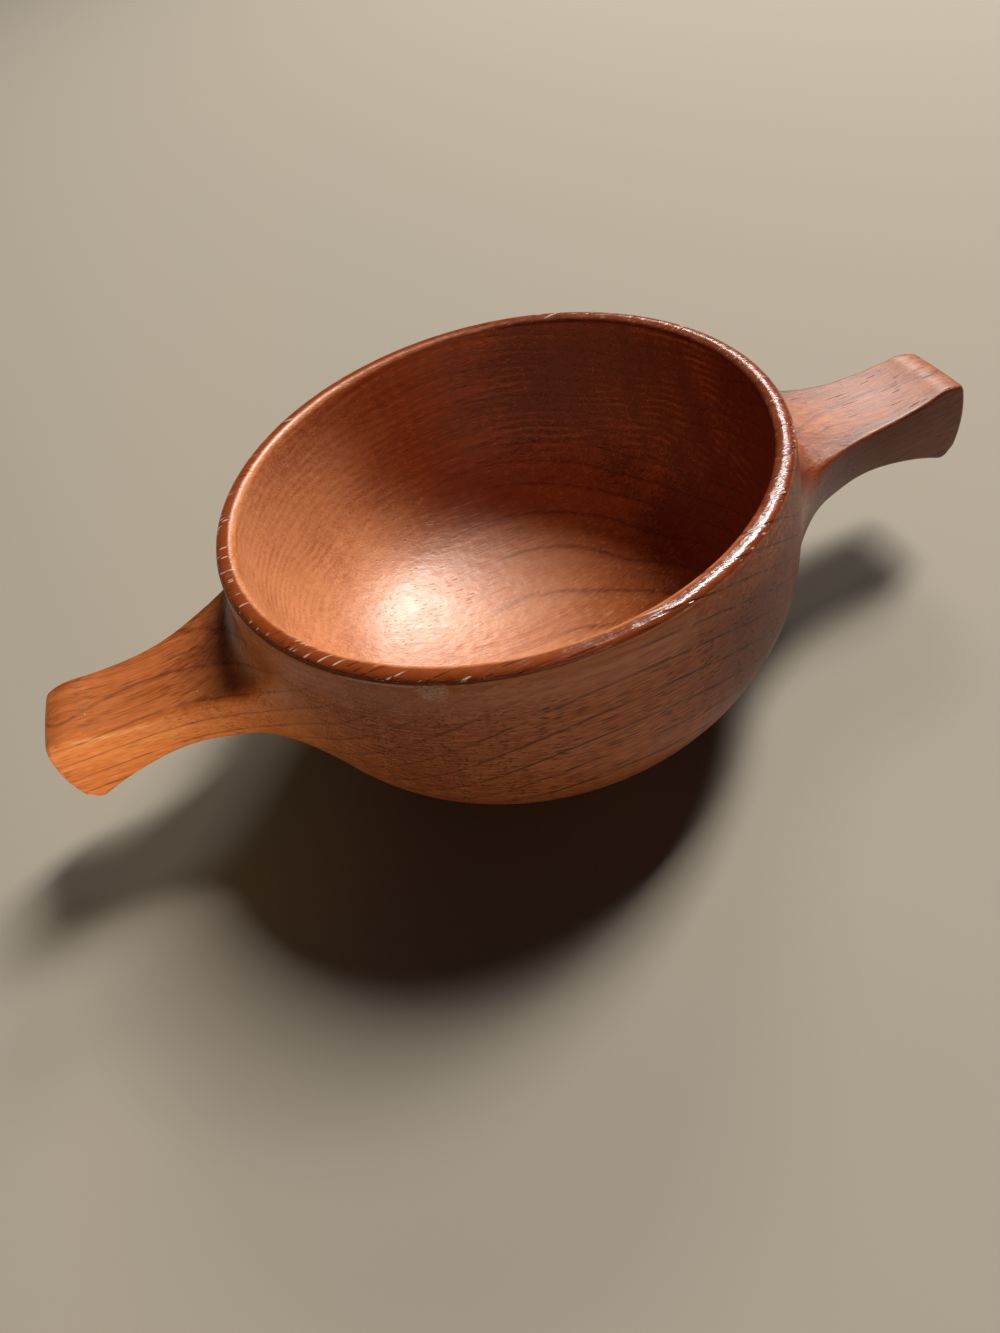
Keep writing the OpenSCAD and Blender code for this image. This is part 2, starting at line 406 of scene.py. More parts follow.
def top_height(r):
    """Top of a lug: a hollow arc, a roll at its end, and a fillet up the wall."""
    centre = TOP_LOW + (0, TOP_ARC_R)
    roll_x = TIP_R - ROLL_IN
    roll_z = centre[1] - math.sqrt((TOP_ARC_R + ROLL_R) ** 2 - (roll_x - centre[0]) ** 2)
    joint_r = centre[0] + (roll_x - centre[0]) * TOP_ARC_R / (TOP_ARC_R + ROLL_R)
    hollow = centre[1] - np.sqrt(TOP_ARC_R ** 2 - (r - centre[0]) ** 2)
    roll = roll_z + np.sqrt(np.maximum(0, ROLL_R ** 2 - (r - roll_x) ** 2))
    return np.where(r < joint_r, hollow, roll) + fillet(r - BELLY_R, TOP_FILLET)


def under_height(r):
    """Underside of a lug: an arch, a rounded lower corner, and a fillet down the wall."""
    centre = UNDER_HIGH - (0, UNDER_ARC_R)
    corner = crossing((centre, UNDER_ARC_R + CORNER_R),
                      (np.array((TIP_R - END_ARC_R, BULGE_Z)), END_ARC_R - CORNER_R), -1)
    joint_r = centre[0] + (corner[0] - centre[0]) * UNDER_ARC_R / (UNDER_ARC_R + CORNER_R)
    arch = centre[1] + np.sqrt(UNDER_ARC_R ** 2 - (r - centre[0]) ** 2)
    bend = corner[1] - np.sqrt(np.maximum(0, CORNER_R ** 2 - (r - corner[0]) ** 2))
    return np.where(r < joint_r, arch, bend) - fillet(r - BELLY_R, UNDER_FILLET)


sample = np.array((52.3, 60, 70, 80, 90)) * mm
print("half widths", np.round(side_half_width(sample) / mm, 2))
print("tops", np.round(top_height(sample) / mm, 2), "undersides", np.round(under_height(sample) / mm, 2))


# %% [markdown]
# Each row is a rounded rectangle. Its corners are the eased edges of the lug, nearly crisp along the grip
# and wider at the wall, where the edge dies away into the bowl. The knife left the top a little hollow and
# the sides a little full, so the straight runs between the corners are bowed by a fraction of a millimetre.

# %% Rounded rectangles
ARC_POINTS = 9
SIDE_POINTS = 22


def rounded_loops(half_width, top, under, ease, bow):
    """Rounded rectangles, one per row: arrays (rows, points) of y and z, going over the top towards +Y.

    Each corner is a quarter circle of radius ease, centred that far in from both sides. A straight run
    leads from each corner to the next, bowed outwards by bow times one minus the square of the way along.
    Rows of ease hold the corners in the order top +Y, under +Y, under -Y, top -Y, and bow the runs that
    follow those corners.
    """
    side = np.array((1, 1, -1, -1))
    level = np.stack((top, under, under, top), axis=1)
    inward = np.array((-1, 1, 1, -1))
    centre_y = side * (half_width[:, None] - ease)
    centre_z = level + inward * ease
    turn = np.radians(np.array((90, 0, -90, -180))[:, None] - np.linspace(0, 90, ARC_POINTS)[None, :])
    arc_y = centre_y[..., None] + ease[..., None] * np.cos(turn)
    arc_z = centre_z[..., None] + ease[..., None] * np.sin(turn)
    share = np.linspace(0, 1, SIDE_POINTS + 2)[1:-1]
    next_y = np.roll(arc_y[..., 0], -1, axis=1)[..., None]
    next_z = np.roll(arc_z[..., 0], -1, axis=1)[..., None]
    run_y = arc_y[..., -1:] + (next_y - arc_y[..., -1:]) * share
    run_z = arc_z[..., -1:] + (next_z - arc_z[..., -1:]) * share
    swell = bow[..., None] * (1 - (2 * share - 1) ** 2)
    run_y = run_y + swell * np.array((1, 0, -1, 0))[:, None]
    run_z = run_z + swell * np.array((0, -1, 0, 1))[:, None]
    rows = len(top)
    y = np.concatenate((arc_y, run_y), axis=-1).reshape(rows, -1)
    z = np.concatenate((arc_z, run_z), axis=-1).reshape(rows, -1)
    return y, z


print("each row has", 4 * (ARC_POINTS + SIDE_POINTS), "points")


# %% [markdown]
# The rows are not flat slices. Near the bowl they follow its wall, and at the tip they follow the bulging
# end, so the distance from the axis is blended between those two curves. The rows at either end shrink to
# a point: inside the wall, where the glued face is, and on the end of the lug.

# %% Lug skin
BODY_ROWS = 110
CAP_ROWS = 12
ROOT_EASE = 7 * mm
EASE_REACH = 13 * mm
END_EASE = 0.9 * mm
SOCKET_DEPTH = 2 * mm
TOP_BOW = -0.12 * mm
SIDE_BOW = 0.18 * mm
BOW_FADE = 0.25
WIDEST_EASE = 0.9
TALLEST_EASE = 0.45


def wall_radius(z):
    """Distance of the bowl's outside from the axis at a height: its upper arc, belly arc and turn arc."""
    turn_c, turn_r = outer[1]
    joint_z = turn_c[1] + turn_r * below(OUTER_TURN[0])[1]
    high, side, turn = [centre[0] + np.sqrt(np.maximum(0, radius ** 2 - (z - centre[1]) ** 2))
                        for centre, radius in (upper, *outer[:2])]
    return np.where(z > belly[1], high, np.where(z > joint_z, side, turn))


def end_radius(z):
    """Distance of the bulging end from the axis at a height."""
    return TIP_R - END_ARC_R + np.sqrt(END_ARC_R ** 2 - (z - BULGE_Z) ** 2)


def lug_rows():
    """Rows of the loft as arrays: place from wall (0) to end (1), scale of the rectangle, and end easing."""
    body = np.linspace(0, 1, BODY_ROWS)
    body_place = body ** 2 * (1 - END_EASE / REACH)
    turn = np.linspace(0, math.pi / 2, CAP_ROWS)[1:]
    ease_place = 1 - END_EASE / REACH * (1 - np.sin(turn))
    ease_in = END_EASE * (1 - np.cos(turn))
    cap = np.linspace(1, 0, CAP_ROWS + 2)[1:-1]
    place = np.concatenate((np.zeros(CAP_ROWS), body_place, ease_place, np.ones(CAP_ROWS)))
    scale = np.concatenate((cap[::-1], np.ones(BODY_ROWS + len(turn)), cap))
    shrink = np.concatenate((np.zeros(CAP_ROWS + BODY_ROWS), ease_in, np.full(CAP_ROWS, END_EASE)))
    return place, scale, shrink


def lug_grid(edge_ease):
    """Grid of a lug along +X. edge_ease gives the easing of its four long edges at the tip."""
    place, scale, shrink = lug_rows()
    r = BELLY_R + place * REACH
    top = BULGE_Z + (top_height(r) - shrink - BULGE_Z) * scale
    under = BULGE_Z + (under_height(r) + shrink - BULGE_Z) * scale
    half_width = (side_half_width(r) - shrink) * scale
    fade = np.clip(1 - place * REACH / EASE_REACH, 0, 1)[:, None] ** 2
    ease = np.array(edge_ease) * (1 - fade) + ROOT_EASE * fade
    ease = np.minimum(ease, WIDEST_EASE * half_width[:, None])
    ease = np.minimum(ease, TALLEST_EASE * (top - under)[:, None]) * scale[:, None]
    bow = np.outer(scale * np.clip(place / BOW_FADE, 0, 1), (SIDE_BOW, 0, SIDE_BOW, TOP_BOW))
    y, z = rounded_loops(half_width, top, under, ease, bow)
    sunk = GLUE_DEPTH + SOCKET_DEPTH * (1 - scale) * (place == 0)
    distance = wall_radius(z) * (1 - place[:, None]) + end_radius(z) * place[:, None]
    distance = distance - (sunk * (1 - place))[:, None]
    return np.stack((np.sqrt(distance ** 2 - y ** 2), y, z), axis=-1)


def lug_skin(name, node, facing, edge_ease):
    """Make one lug, facing +X (1) or half a turn round (-1), and hide its CAD node."""
    grid = lug_grid(edge_ease) * np.array((facing, facing, 1))
    root = np.array((facing * (wall_radius(BULGE_Z) - SOCKET_DEPTH), 0, BULGE_Z))
    tip = np.array((facing * end_radius(BULGE_Z), 0, BULGE_Z))
    piece = closed_skin(name, grid, root, tip)
    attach(piece, "root")
    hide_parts(node)
    return piece


CRISP = (0.8 * mm,) * 4
SOFT_FRONT = (1.6 * mm, 0.9 * mm, 0.8 * mm, 0.9 * mm)
lug_right_skin = lug_skin("lug_right_skin", "lug_right", 1, CRISP)
lug_left_skin = lug_skin("lug_left_skin", "lug_left", -1, SOFT_FRONT)

# %% [markdown]
# The wood is one block of grain in space. Its fibres run along X, through the bowl and both lugs, and its
# growth rings curve about a heart that lay above the bowl. Because every piece sits at the origin,
# Object coordinates are the same for all of them, and one set of nodes gives long pore lines on the front,
# dots on the ends, and ticks across the rim, just as cutting a real block does.
#
# A material is a tree of nodes, and most of ours are plain sums and products. So we wrap the output of a node
# in a small class whose operators add the Math nodes they stand for, and write formulas as formulas.

# %% Outputs that can be reckoned with
def feed(socket, value):
    """Link an output to an input, or set the input to a constant."""
    if isinstance(value, Output):
        value.tree.links.new(value.socket, socket)
    else:
        socket.default_value = value


def add_node(tree, kind, inputs, **settings):
    """Add a shader node, set its properties and feed its inputs, which are named or numbered."""
    made = tree.nodes.new("ShaderNode" + kind)
    for key, value in settings.items():
        setattr(made, key, value)
    for key, value in inputs.items():
        feed(made.inputs[key], value)
    return made


class Output:
    """Output of a node. Each operator adds a Math node to the same tree and gives the output of that."""

    def __init__(self, tree, socket):
        self.tree = tree
        self.socket = socket

    def through(self, kind, output, inputs, **settings):
        """Output, named or numbered, of a new node."""
        return Output(self.tree, add_node(self.tree, kind, inputs, **settings).outputs[output])

    def calc(self, operation, *values):
        """Output of a new Math node."""
        return self.through("Math", 0, dict(enumerate(values)), operation=operation)

    def __add__(self, other):
        return self.calc("ADD", self, other)

    def __sub__(self, other):
        return self.calc("SUBTRACT", self, other)

    def __rsub__(self, other):
        return self.calc("SUBTRACT", other, self)

    def __mul__(self, other):
        return self.calc("MULTIPLY", self, other)

    def __truediv__(self, other):
        return self.calc("DIVIDE", self, other)


# %% [markdown]
# The next helpers make masks and colours. The one that we need most is the ramp, a smooth step. We write it
# as where it starts and ends, followed by the values there if they are not 0 and 1.

# %% Helpers for masks and colours
def ramp(value, low, high, to_low=0.0, to_high=1.0):
    """Smooth step from to_low to to_high as value goes from low to high."""
    inputs = {"Value": value, "From Min": low, "From Max": high, "To Min": to_low, "To Max": to_high}
    return value.through("MapRange", "Result", inputs, interpolation_type="SMOOTHSTEP")


def larger(first, second):
    """The larger of two values."""
    return first.calc("MAXIMUM", first, second)


def to_nearest(count):
    """Distance of a count from the nearest whole number."""
    return count.calc("PINGPONG", count, 0.5)


def mix(share, first, second):
    """Mix two colours."""
    return share.through("Mix", 2, {0: share, 6: first, 7: second}, data_type="RGBA")


def new_material(name):
    """A new material, its node tree and its main shader."""
    material = bpy.data.materials.new(name)
    material.use_nodes = True
    return material, material.node_tree, material.node_tree.nodes["Principled BSDF"]


# %% [markdown]
# All patterns are written in millimetres, so the first thing a material does is to scale Object coordinates
# from metres. A pattern of wood is stretched along the fibres: it has one scale along X and a larger one
# across, and we call that pair of numbers its grain.

# %% Helpers for places and patterns
def millimetres(tree):
    """Object coordinates in millimetres."""
    metres = Output(tree, add_node(tree, "TexCoord", {}).outputs["Object"])
    return metres.through("VectorMath", "Vector", {0: metres, "Scale": 1 / mm}, operation="SCALE")


def scaled(place, scales):
    """A place with its X, Y and Z scaled."""
    return place.through("VectorMath", "Vector", {0: place, 1: scales}, operation="MULTIPLY")


def seen_from(place, point):
    """A place as seen from a point."""
    return place.through("VectorMath", "Vector", {0: place, 1: point}, operation="SUBTRACT")


def distance_to(place, point):
    """Distance of a place from a point."""
    return place.through("VectorMath", "Value", {0: place, 1: point}, operation="DISTANCE")


def length_of(vector):
    """Length of a vector."""
    return vector.through("VectorMath", "Value", {0: vector}, operation="LENGTH")


def parts_of(vector):
    """The X, Y and Z of a vector or a colour."""
    separated = add_node(vector.tree, "SeparateXYZ", {0: vector})
    return [Output(vector.tree, socket) for socket in separated.outputs]


def noise(vector, detail=2.0):
    """Cloudy noise from 0 to 1 on a vector."""
    return vector.through("TexNoise", "Fac", {"Vector": vector, "Scale": 1.0, "Detail": detail})


def grained(place, grain, detail=2.0):
    """Noise stretched along the fibres by a grain, which is a scale along X and a scale across."""
    along, across = grain
    return noise(scaled(place, (along, across, across)), detail)


# %% [markdown]
# Growth rings come first. The bowl was cut with its mouth towards the heart of the tree, so the rings are
# circles about a line above it. The distance from that line, bent by slow noise and divided by the width of a
# ring, counts them, and Ping-Pong folds the count into the distance from the nearest ring line. The lines are
# rows of large vessels, so they come and go along the fibres.

# %% Growth rings
HEART = (0, 25, 112)
RING_WIDTH = 3.4
RING_WAVE, WAVE_GRAIN = 7.0, (0.006, 0.018)
RING_JITTER, JITTER_GRAIN = 0.5, (0.05, 0.5)
RING_LINE = (0.075, 0.015)
ROW_GRAIN, ROW_SHOWN = (0.05, 1.2), (0.32, 0.54)
PALE_RISE, PALE_FALL = (0.08, 0.2), (0.45, 0.2)


def growth_rings(place):
    """Ring lines and ring light: a dark line where one ring ends, and a paler band just after it.

    count = (distance from the heart line + slow wave + fine jitter) / ring width
    """
    distance = length_of(scaled(seen_from(place, HEART), (0, 1, 1)))
    wave = grained(place, WAVE_GRAIN) * RING_WAVE
    jitter = grained(place, JITTER_GRAIN) * RING_JITTER
    count = (distance + wave + jitter) / RING_WIDTH
    way = count.calc("FRACT", count)
    line = ramp(to_nearest(count), *RING_LINE) * ramp(grained(place, ROW_GRAIN), *ROW_SHOWN)
    return line, ramp(way, *PALE_RISE) * ramp(way, *PALE_FALL)


print("growth rings", RING_WIDTH, "mm wide about a heart at a height of", HEART[2], "mm")


# %% [markdown]
# Between the lines the wood is full of fine vessels. Each is a thin tube along X, so it shows as a long
# stroke on the front, a dot on the ends and a tick across the rim. A Voronoi pattern stretched along X gives
# one such tube per cell, and the cell's own random number says whether it is there and what fills it.

# %% Vessels
STROKE_EDGE, STROKE_CORE = 1.25, 0.6


def strokes(place, spacing, thickness, length):
    """Strokes along the fibres: 1 inside one, and a random number per stroke.

    A cell of the pattern is one unit wide, so a stroke of this thickness reaches thickness / spacing / 2
    from the cell's middle, and the pattern is squeezed along X until that reach is half the length.
    """
    reach = thickness / spacing / 2
    squeezed = scaled(place, (thickness / spacing / length, 1 / spacing, 1 / spacing))
    cells = add_node(place.tree, "TexVoronoi", {"Vector": squeezed, "Scale": 1.0}).outputs
    inside = ramp(Output(place.tree, cells["Distance"]), STROKE_EDGE * reach, STROKE_CORE * reach)
    chance, _, _ = parts_of(Output(place.tree, cells["Color"]))
    return inside, chance


# %% [markdown]
# The lathe left its own marks, all at steady heights. Inside they are faint pale arcs, parallel to the rim,
# where the gouge burnished the wall. Outside they are fine dashes. The height itself, bent a little by noise,
# counts the arcs, and noise that is much finer in height than along the wall gives the dashes. A mask tells
# inside from outside: seen from the middle of the mouth, the wall lies close to an ellipsoid, and a point
# whose scaled distance is small enough is on its hollow side.

# %% Turning marks
MOUTH = (0, 0, 51.15)
HOLLOW_SHAPE = (1 / 49.6, 1 / 49.6, 1 / 48.0)
HOLLOW_EDGE = (1.06, 1.03)
TURN_PITCH = 1.7
TURN_WOBBLE, WOBBLE_GRAIN = 5.0, (0.02, 0.035)
TURN_ARC = (0.36, 0.06)
ARC_GRAIN, ARC_SHOWN = (0.05, 0.12), (0.35, 0.6)
ARC_HEIGHT = (16, 32)
DASH_SHAPE, DASH_MEAN = (0.25, 0.25, 3.5), 0.5


def hollow_side(place):
    """1 on the inside of the bowl and 0 outside."""
    return ramp(length_of(scaled(seen_from(place, MOUTH), HOLLOW_SHAPE)), *HOLLOW_EDGE)


def turning_arcs(place, height):
    """Pale arcs on the wall: 1 on an arc, which comes and goes, and 0 between arcs and towards the floor."""
    count = height / TURN_PITCH + grained(place, WOBBLE_GRAIN) * TURN_WOBBLE
    shown = ramp(grained(place, ARC_GRAIN), *ARC_SHOWN) * ramp(height, *ARC_HEIGHT)
    return ramp(to_nearest(count), *TURN_ARC) * shown


def turning_dashes(place):
    """Fine dashes round the wall, a little above and below 0."""
    return noise(scaled(place, DASH_SHAPE)) - DASH_MEAN


print("turning arcs every", TURN_PITCH, "mm of height")


# %% [markdown]
# Now we gather what every later step asks about a point of the wood: how far along the fibres it lies, how
# deep and how high, how far from the axis, whether it is on the rim, in the hollow or on the outer wall, and
# whether it faces up. Lengths are in millimetres, and masks go from 0 to 1. They travel in one bundle.

# %% Where a point lies
RIM_LOW = 51.9
RIM_HEIGHT, RIM_RADIUS = (RIM_LOW, 52.3), (47.9, 48.8)
FACING_UP = (0.5, 0.9)


def spot_on_wood(tree):
    """Bundle of a point's place and of the masks that tell which part of the object it is on."""
    place = millimetres(tree)
    along, depth, height = parts_of(place)
    radius = length_of(scaled(place, (1, 1, 0)))
    hollow = hollow_side(place)
    _, _, facing = parts_of(Output(tree, add_node(tree, "NewGeometry", {}).outputs["Normal"]))
    return SimpleNamespace(place=place, along=along, depth=depth, height=height, radius=radius,
                           rim=ramp(height, *RIM_HEIGHT) * ramp(radius, *RIM_RADIUS),
                           hollow=hollow, wall=1.0 - hollow, level=ramp(facing, *FACING_UP))


def by_side(spot, outside, inside):
    """One value outside and another in the hollow."""
    return ramp(spot.hollow, 0.0, 1.0, outside, inside)


print("rim from a radius of", RIM_RADIUS[0], "mm and a height of", RIM_LOW, "mm")


# %% [markdown]
# Wax marks come next. The maker's wax has dried pale in the crease under the rim and in a small smear below
# it at the front, while the rest of the crease is darkened with painted shade. Both are masks on the place
# itself:
# a band of heights for the crease, and the distance from a point on the wall for the smear.

# %% Crease under the rim
OUTER_EDGE = (49.9, 50.1)
# The crease band carries painted shade.
CREASE_BAND, CREASE_ALONG = (51.80, 52.30), (5, -22)
CRUMB_GRAIN, CRUMB_DETAIL, CRUMB_SHOWN = (1.3, 3.2), 4.0, (0.40, 0.58)
SMEAR, SMEAR_R, SMEAR_HEIGHT = (-25.1, -44.4, 51.2), 2.9, (52.2, 51.9)
SMEAR_FILM, SMEAR_CRUMBS = 0.2, 0.6
WAX_LINE, WAX_LINE_R, WAX_LINE_BAND = (-32.0, -39.6, 51.8), 7.5, (51.35, 52.05)
WAX_LINE_FILM, WAX_LINE_CRUMBS = 0.7, 0.4
SPECK = {"spacing": 3.0, "thickness": 0.34, "length": 0.34}
SPECK_CHANCE, SPECK_RADIUS = (0.86, 0.88), (50.0, 50.4, 0.0, 0.6)
NEAR_CORE = 0.6


def band(value, low, high):
    """Smooth hump: 0 at low, 1 half way and 0 again at high."""
    middle = (low + high) / 2
    return ramp(value, low, middle) * ramp(value, high, middle)


def near(place, point, reach):
    """1 at a point, falling to 0 at a distance of reach."""
    return ramp(distance_to(place, point), reach, NEAR_CORE * reach)


def crease_shade_and_wax(spot):
    """Share of painted shade in the crease under the rim, and share of pale wax in and below it."""
    outside = ramp(spot.radius, *OUTER_EDGE)
    # Painted shade: a dark band in the crease under the rim.
    crease_shade = band(spot.height, *CREASE_BAND) * outside * ramp(spot.along, *CREASE_ALONG)
    crumbs = ramp(grained(spot.place, CRUMB_GRAIN, CRUMB_DETAIL), *CRUMB_SHOWN)
    smear = near(spot.place, SMEAR, SMEAR_R) * ramp(spot.height, *SMEAR_HEIGHT) * outside
    smear = smear * (crumbs * SMEAR_CRUMBS + SMEAR_FILM)
    line = near(spot.place, WAX_LINE, WAX_LINE_R) * band(spot.height, *WAX_LINE_BAND) * outside
    line = line * (crumbs * WAX_LINE_CRUMBS + WAX_LINE_FILM)
    specks, chance = strokes(spot.place, **SPECK)
    specks = specks * ramp(chance, *SPECK_CHANCE) * ramp(spot.radius, *SPECK_RADIUS)
    return crease_shade, larger(larger(smear, line), specks)


print("smear of wax", 2 * SMEAR_R, "mm across")


# %% [markdown]
# With the parts at hand, we gather all patterns of the wood in a second bundle. Noise with a very long grain
# gives streaks, a shorter one the sheen, and a wide one clouds. The ring lines are boldest near the middle of
# the front and nearly hidden on the left of the hollow. A slow ripple from the lathe and the scraper breaks
# up the highlights, more so inside, where the tool was hard to hold.

# %% Grain
FINE = 3.0
STREAK_GRAIN, SHEEN_GRAIN, CLOUD_GRAIN = (0.04, 2.2), (0.05, 0.7), (0.02, 0.07)
RIPPLE_GRAIN, RIPPLE_OUTSIDE, RIPPLE_INSIDE = (0.38, 0.55), 0.045, 0.17
PORE, PORE_CHANCE = {"spacing": 0.55, "thickness": 0.30, "length": 4.5}, (0.35, 0.65)
FLECK = {"spacing": 0.36, "thickness": 0.28, "length": 2.6}
TICK, TICK_CHANCE = {"spacing": 0.60, "thickness": 0.38, "length": 6.0}, (0.35, 0.4)
BOLDEST, BOLD_REACH = (16, -48, 42), (22, 48, 0.85, 0.45)
HIDDEN_ALONG = (15, -15, 0.0, 0.8)


def ring_lines(spot):
    """Ring lines with their strength, and the pale bands between them."""
    line, pale = growth_rings(spot.place)
    strength = ramp(distance_to(spot.place, BOLDEST), *BOLD_REACH)
    hidden = spot.hollow * ramp(spot.along, *HIDDEN_ALONG)
    return line * (strength - hidden * strength), pale


def wood_grain(spot):
    """Bundle of the patterns in the wood and of the random numbers of its strokes."""
    place = spot.place
    line, pale = ring_lines(spot)
    pores, pore_chance = strokes(place, **PORE)
    flecks, fleck_chance = strokes(place, **FLECK)
    ticks, tick_chance = strokes(place, **TICK)
    crease_shade, wax = crease_shade_and_wax(spot)
    return SimpleNamespace(
        line=line, pale=pale, crease_shade=crease_shade, wax=wax,
        pores=pores * ramp(pore_chance, *PORE_CHANCE),
        flecks=flecks, fleck_chance=fleck_chance,
        ticks=ticks * spot.rim * ramp(tick_chance, *TICK_CHANCE), tick_chance=tick_chance,
        streak=grained(place, STREAK_GRAIN, FINE),
        sheen=grained(place, SHEEN_GRAIN, FINE),
        cloud=grained(place, CLOUD_GRAIN),
        ripple=grained(place, RIPPLE_GRAIN, FINE) * by_side(spot, RIPPLE_OUTSIDE, RIPPLE_INSIDE),
        arcs=turning_arcs(place, spot.height) * spot.hollow,
        dashes=turning_dashes(place) * spot.wall)


print("pores", PORE["thickness"], "mm thick and", PORE["length"], "mm long")


# %% [markdown]
# Colour goes from a dark red-brown to amber, and one number, the tone, says where on that range a point lies.
# Noise at several scales moves the tone up and down, and painted shade makes the wood darker from left to
# right.
# Painted shade also darkens the top of the left lug, and painted light lifts the top of the right lug a
# little. In the hollow, painted shade darkens the right and the back, and painted light makes it paler past
# the middle.

# %% Tone
# Painted shade: the tone falls from left to right.
RIGHT_SHADE_TONE = (0, 42, 0.0, -0.45)
# Painted shade on the upper faces of the left lug, and a little painted light on those of the right lug.
TOP_SHADE_ALONG, TOP_LIGHT_RIGHT = (-40, 40), 0.1
# Painted shade on the right and at the back of the hollow, and painted light past its middle.
HOLLOW_RIGHT_SHADE = (40, 16, -0.24, 0.03)
HOLLOW_LEFT_SHADE = (5, -30, 0.0, -0.04)
HOLLOW_MIDDLE_LIGHT = (-8, 16, 0.0, 0.12)
HOLLOW_BACK_SHADE, HOLLOW_BACK_SHADE_ALONG = (24, 46, 0.0, -0.50), (-34, 8)
CLOUD_TONE, STREAK_TONE, SHEEN_TONE = 0.6, 0.45, 0.25
PALE_TONE, ARC_TONE, DASH_TONE = 0.06, 0.20, 1.3
LIT_CHANCE, LIT_TONE, LIT_TURNED = (0.55, 0.75), 0.12, 0.16


def hollow_light_and_shade(spot):
    """Painted shade on the right and back of the hollow and painted light past its middle, as a sum of ramps.
    """
    sides = ramp(spot.along, *HOLLOW_RIGHT_SHADE) + ramp(spot.along, *HOLLOW_LEFT_SHADE)
    back = ramp(spot.depth, *HOLLOW_BACK_SHADE) * ramp(spot.along, *HOLLOW_BACK_SHADE_ALONG)
    return sides + ramp(spot.depth, *HOLLOW_MIDDLE_LIGHT) + back


def wood_tone(spot, grain, turned, top_shade):
    """Tone of the wood: a ramp of painted shade from left to right plus all that lightens or darkens it."""
    top_light_and_shade = ramp(spot.along, *TOP_SHADE_ALONG, -top_shade, TOP_LIGHT_RIGHT * top_shade)
    lit = grain.flecks * ramp(grain.fleck_chance, *LIT_CHANCE)
    # Painted light and shade: the ramp to the right, the upper faces of the lugs, and the hollow.
    tone = ramp(spot.along, *RIGHT_SHADE_TONE) + spot.level * top_light_and_shade + spot.hollow * hollow_light_and_shade(spot)
    tone = tone + grain.cloud * CLOUD_TONE + grain.streak * STREAK_TONE + grain.sheen * SHEEN_TONE
    tone = tone + grain.pale * PALE_TONE + grain.arcs * ARC_TONE + grain.dashes * (DASH_TONE * turned)
    return tone + lit * (LIT_TONE + LIT_TURNED * turned)


print("tone falls by", -RIGHT_SHADE_TONE[3], "over", RIGHT_SHADE_TONE[1], "mm to the right")


# %% [markdown]
# The tone picks the colour, and the rest is laid over it like washes. Painted shade deepens the red of the
# front towards the right, the rim is redder because lips and hands have polished it, and vessels and ring
# lines are stained nearly black. Some ticks across the rim are pale, partly with wax in the pores and partly
# as painted glints at their edges. Painted shade darkens the crease, and pale wax lies in it and in the smear
# below it.

# %% Colour
DARK_WOOD = (0.14, 0.025, 0.004, 1)
MID_WOOD = (0.37, 0.104, 0.028, 1)
LIGHT_WOOD = (0.58, 0.225, 0.09, 1)
# Painted shade: a deeper red on the front wall towards the right.
PAINTED_FRONT_SHADE = (0.13, 0.012, 0.001, 1)
STAIN = (0.035, 0.008, 0.003, 1)
RIM_WOOD = (0.17, 0.028, 0.004, 1)
WAX = (0.74, 0.61, 0.50, 1)
DARK_TO_MID, MID_TO_LIGHT = (0.1, 0.5), (0.45, 0.95)
FRONT_SHADE_ALONG, FRONT_SHADE_DEPTH = (5, 30, 0.0, 0.85), (10, -25)
DIM_CHANCE, DIM_OUTSIDE, DIM_TURNED, DIM_INSIDE = (0.5, 0.3), 0.18, 0.30, 0.15
PORE_OUTSIDE, PORE_TURNED, PORE_INSIDE = 0.55, 0.25, 0.18
# Chance of a pale tick across the rim: wax in some pores, and painted glints at the edges of others.
WAX_AND_GLINT_CHANCE = (0.70, 0.76)
RIM_SHARE, TICK_SHARE, CREASE_SHADE_SHARE, WAX_SHARE = 0.92, 0.55, 0.8, 0.8


def wood_colour(spot, grain, tone, turned):
    """Colour of the wood: three woods mixed by the tone, and washes over them, each with its share."""
    # Painted shade on the front towards the right, kept off upward faces.
    front_shade = ramp(spot.along, *FRONT_SHADE_ALONG) * ramp(spot.depth, *FRONT_SHADE_DEPTH)
    dim = grain.flecks * ramp(grain.fleck_chance, *DIM_CHANCE)
    washes = ((ramp(tone, *DARK_TO_MID), MID_WOOD),
              (ramp(tone, *MID_TO_LIGHT), LIGHT_WOOD),
              (front_shade * spot.wall * (1.0 - spot.level), PAINTED_FRONT_SHADE),
              (spot.rim * RIM_SHARE, RIM_WOOD),
              (dim * by_side(spot, DIM_OUTSIDE + DIM_TURNED * turned, DIM_INSIDE), STAIN),
              (grain.pores * by_side(spot, PORE_OUTSIDE + PORE_TURNED * turned, PORE_INSIDE), STAIN),
              (grain.line, STAIN),
              # Pale ticks: wax in some pores, and painted glints at the edges of others.
              (grain.ticks * TICK_SHARE, mix(ramp(grain.tick_chance, *WAX_AND_GLINT_CHANCE), STAIN, WAX)),
              # Painted shade in the crease under the rim.
              (grain.crease_shade * CREASE_SHADE_SHARE, STAIN),
              (grain.wax * WAX_SHARE, WAX))
    colour = DARK_WOOD
    for share, wash in washes:
        colour = mix(share, colour, wash)
    return colour


print("wood from", DARK_WOOD[:3], "to", LIGHT_WOOD[:3])


# %% [markdown]
# Oiled wood shines unevenly. The sheen noise makes it patchy, pores and the crease are dull, and the rim is
# polished. The top of the right lug is drier than the rest. In the hollow a film of oil lies over the wood,
# which gives the broad, soft glow. It is the shader's coat, whose weight may vary but whose roughness is one
# value, and it is kept off the rim and the dark right side.

